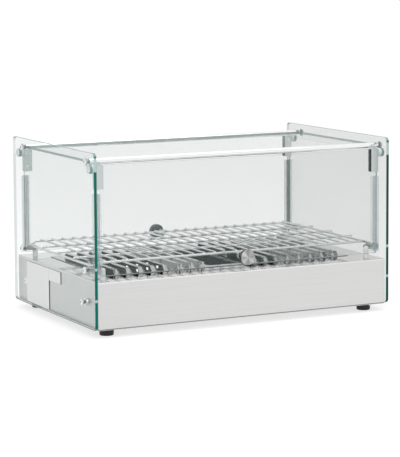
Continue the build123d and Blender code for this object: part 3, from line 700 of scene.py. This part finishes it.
class CASE_OT_clamps(bpy.types.Operator):
    """Finish the hinge clamps and line their open side with rubber"""
    bl_idname = "case.clamps"
    bl_label = "Hinge clamps"

    def execute(self, context):
        satin = metal("satin_clamp", colours().clamp_metal, (1100, 1100, 12), 0.38, contrast=0.07)
        pad = moulded("clamp_rubber", colours().rubber, 0.55)
        margin = Vector((0, GASKET_SIDE_MARGIN, GASKET_END_MARGIN))
        for door in ("front", "rear"):
            node = f"{door}_hinge_clamps"
            dress(satin, node)
            low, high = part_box(node)
            lining = []
            for side in (-1, 1):
                near, far = sorted((side * CLAMP_INNER, side * (CLAMP_INNER - sizes().gasket_sheet)))
                lining.append(box_piece(Vector((near, low.y, low.z)) + margin,
                                        Vector((far, high.y, high.z)) - margin, GASKET_ROUNDING))
            settle(join_pieces(lining), f"{door}_clamp_gaskets", f"{door}_door", "foot_rubber", pad)
        return {"FINISHED"}


class CASE_OT_seals(bpy.types.Operator):
    """Finish the clear door seals and lay ribs along them"""
    bl_idname = "case.seals"
    bl_label = "Door seals"

    def execute(self, context):
        clear = moulded("clear_seal", colours().seal_clear, 0.25, contrast=0.05, alpha=0.13)
        ridge = moulded("seal_ridge", shade(colours().seal_clear, 1.12), 0.2, contrast=0.05, alpha=0.28)
        for door in ("front", "rear"):
            node = f"{door}_door_seals"
            dress(clear, node)
            low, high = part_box(node)
            face = low.y if door == "front" else high.y
            ribs = [rib(side * across * MM, face, low.z, high.z) for side in (-1, 1) for across in SEAL_RIBS]
            smooth(settle(join_pieces(ribs), f"{door}_seal_ribs", f"{door}_door", "clear_seal", ridge))
        return {"FINISHED"}


class CASE_OT_knobs(bpy.types.Operator):
    """Finish the turned door knobs"""
    bl_idname = "case.knobs"
    bl_label = "Door knobs"

    def execute(self, context):
        for door in ("front", "rear"):
            node = f"{door}_door_knob"
            low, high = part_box(node)
            face_y = low.y if door == "front" else high.y
            turned = shade(colours().rod_steel, 0.50)
            dress(spun_metal(f"{door}_spun_face", turned, (low + high) / 2, face_y), node)
        return {"FINISHED"}


class CASE_OT_posts(bpy.types.Operator):
    """Finish the translucent door posts and the rubber feet"""
    bl_idname = "case.posts"
    bl_label = "Posts and feet"

    def execute(self, context):
        dress(moulded("post_nylon", colours().post_nylon, 0.22, contrast=0.03, alpha=0.92), "door_stop_posts")
        dress(moulded("foot_rubber", colours().rubber, 0.6, grain_scale=700), "rubber_feet")
        return {"FINISHED"}


class CASE_OT_plates(bpy.types.Operator):
    """Lay the two bare rating plates on the left pane"""
    bl_idname = "case.plates"
    bl_label = "Bare plates"

    def execute(self, context):
        low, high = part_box("rating_plates")
        face = moulded("plate_white", colours().plate_white, 0.4, grain_scale=300, bump=0.03, contrast=0.02)
        # Painted shadow on the plate edges
        edge = moulded("plate_painted_shadow", colours().plate_painted_shadow, 0.6, bump=0.03)
        step_y = low.y + SMALL_PLATE_LENGTH
        tall = box_piece((low.x, step_y + PLATE_GAP, low.z), high, sizes().plate_bevel)
        small = box_piece((low.x, low.y, high.z - SMALL_PLATE_HEIGHT), (high.x, step_y, high.z),
                          sizes().plate_bevel)
        piece = settle(join_pieces([tall, small]), "bare_plates", "base", "plate_white", face, edge)
        for polygon in piece.data.polygons:
            polygon.material_index = 1 if abs(polygon.normal.x) < 0.4 else 0
        # The plates cast no real shadow and show in no reflection; their dark edges carry the painted shadow
        piece.visible_shadow = False
        piece.visible_glossy = False
        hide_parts("rating_plates")
        return {"FINISHED"}


class CASE_OT_controls(bpy.types.Operator):
    """Finish the controls at the rear and the electrics inside the base"""
    bl_idname = "case.controls"
    bl_label = "Rear controls"

    def execute(self, context):
        tint = colours()
        dress(moulded("black_plastic", tint.control_black, 0.42),
              "thermostat_body", "thermostat_knob", "rocker_housing", "cable_gland", "gland_nut")
        dress(metal("dial_ring", tint.dial_ring, (300, 300, 300), 0.32), "dial_bezel")
        dress(moulded("rocker_red", tint.rocker_red, 0.22, bump=0.02), "power_rocker")
        dress(moulded("lamp_amber", tint.lamp_amber, 0.1, bump=0.0, alpha=0.85), "pilot_lamp")
        dress(moulded("terminal_white", tint.terminal_white, 0.4), "terminal_block")
        dress(metal("element_sheath", tint.element_sheath, (60, 60, 60), 0.5), "heating_element")
        return {"FINISHED"}


class CASE_OT_dial_print(bpy.types.Operator):
    """Print plain numbers round the thermostat dial"""
    bl_idname = "case.dial_print"
    bl_label = "Dial print"

    def execute(self, context):
        low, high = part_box("dial_bezel")
        knob_low, knob_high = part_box("thermostat_knob")
        centre = (low + high) / 2
        radius = ((high.x - low.x) + (knob_high.x - knob_low.x)) / 4
        marks = []
        for step, text in enumerate(DIAL_NUMBERS):
            angle = math.radians(DIAL_START - step * DIAL_STEP)
            marks.append(flat_number(text, (centre.x - radius * math.cos(angle), high.y,
                                            centre.z + radius * math.sin(angle))))
        ink = moulded("dial_ink", colours().dial_ink, 0.5, bump=0.0)
        settle(join_pieces(marks), "dial_numbers", "base", "black_plastic", ink)
        return {"FINISHED"}


class CASE_OT_stage(bpy.types.Operator):
    """Lay the pale floor, the lamps and the camera"""
    bl_idname = "case.stage"
    bl_label = "Stage"

    def execute(self, context):
        lay_floor()
        light_sky()
        hang_lamps()
        place_camera()
        return {"FINISHED"}


def seen_directly(owner):
    """1 for rays from the camera and in reflections and glass, 0 for the light on the case."""
    rays = add_node(owner, "ShaderNodeLightPath").outputs
    camera_or_gloss = calculate(owner, "MAXIMUM", rays["Is Camera Ray"], rays["Is Glossy Ray"])
    return calculate(owner, "MAXIMUM", camera_or_gloss, rays["Is Transmission Ray"])


def lay_floor():
    """A matt floor that looks white and still takes the shadow of the case."""
    nothing_selected()
    bpy.ops.mesh.primitive_plane_add(size=FLOOR_SIZE, location=(0, 0, 0))
    floor = bpy.context.object
    floor.name = "floor"
    material, shader = new_finish("pale_floor")
    shader.inputs["Base Color"].default_value = (*FLOOR_GREY, 1)
    shader.inputs["Roughness"].default_value = 0.9
    glow = add_node(material, "ShaderNodeEmission")
    strength = calculate(material, "MULTIPLY", seen_directly(material), FLOOR_GLOW)
    feed(material, strength, glow.inputs["Strength"])
    total = add_node(material, "ShaderNodeAddShader")
    feed(material, shader.outputs["BSDF"], total.inputs[0])
    feed(material, glow.outputs["Emission"], total.inputs[1])
    feed(material, total.outputs["Shader"], material.node_tree.nodes["Material Output"].inputs["Surface"])
    floor.data.materials.append(material)


def light_sky():
    """Even studio sky: white to the camera and in reflections, softer as a light."""
    world = bpy.data.worlds.new("studio")
    bpy.context.scene.world = world
    world.use_nodes = True
    sky = world.node_tree.nodes["Background"]
    sky.inputs["Color"].default_value = (1, 1, 1, 1)
    feed(world, rescale(world, seen_directly(world), after=(SKY_LEVEL, 1.0)), sky.inputs["Strength"])


def hang_lamps():
    """A broad soft lamp above and one at the front left."""
    for name, (place, size, power) in LAMPS.items():
        nothing_selected()
        bpy.ops.object.light_add(type="AREA", location=place)
        lamp = bpy.context.object
        lamp.name = name
        lamp.data.size = size
        lamp.data.energy = power
        aim = Vector(LAMP_TARGET) - Vector(place)
        lamp.rotation_euler = aim.to_track_quat("-Z", "Y").to_euler()


def place_camera():
    nothing_selected()
    bpy.ops.object.camera_add(location=EYE)
    camera = bpy.context.object
    camera.name = "camera"
    forward = Vector((math.sin(YAW) * math.cos(PITCH), math.cos(YAW) * math.cos(PITCH), -math.sin(PITCH)))
    level = Vector((math.cos(YAW), -math.sin(YAW), 0))
    right = math.cos(ROLL) * level + math.sin(ROLL) * level.cross(forward)
    up = right.cross(forward)
    turn = Matrix((right, up, -forward)).transposed()
    camera.rotation_euler = turn.to_euler()
    camera.data.sensor_width = SENSOR
    camera.data.lens = FOCAL_PIXELS * SENSOR / PICTURE_HEIGHT
    camera.data.shift_y = -(PICTURE_HEIGHT / 2 - AXIS_Y) / PICTURE_HEIGHT
    camera.data.clip_end = VIEW_REACH
    bpy.context.scene.camera = camera
    bpy.context.scene.view_settings.view_transform = "Standard"


OPERATORS = (
    CASE_OT_side_glass,
    CASE_OT_door_glass,
    CASE_OT_base_steel,
    CASE_OT_deck,
    CASE_OT_fittings,
    CASE_OT_rack,
    CASE_OT_clamps,
    CASE_OT_seals,
    CASE_OT_knobs,
    CASE_OT_posts,
    CASE_OT_plates,
    CASE_OT_controls,
    CASE_OT_dial_print,
    CASE_OT_stage,
)


class CASE_PT_panel(bpy.types.Panel):
    """Lists the pieces of the display case"""
    bl_idname = "CASE_PT_panel"
    bl_label = "Display case"
    bl_space_type = "VIEW_3D"
    bl_region_type = "UI"
    bl_category = "Display case"

    def draw(self, context):
        layout = self.layout
        for group in (context.scene.case_sizes, context.scene.case_colours):
            column = layout.column()
            for name in group.__annotations__:
                column.prop(group, name)
        for operator in OPERATORS:
            layout.operator(operator.bl_idname)


def register():
    for kind in (CaseSizes, CaseColours, *OPERATORS, CASE_PT_panel):
        bpy.utils.register_class(kind)
    bpy.types.Scene.case_sizes = PointerProperty(type=CaseSizes)
    bpy.types.Scene.case_colours = PointerProperty(type=CaseColours)


def unregister():
    del bpy.types.Scene.case_sizes
    del bpy.types.Scene.case_colours
    for kind in reversed((CaseSizes, CaseColours, *OPERATORS, CASE_PT_panel)):
        bpy.utils.unregister_class(kind)


def main():
    register()
    for operator in OPERATORS:
        group, action = operator.bl_idname.split(".")
        getattr(getattr(bpy.ops, group), action)()


if __name__ == "__main__":
    main()
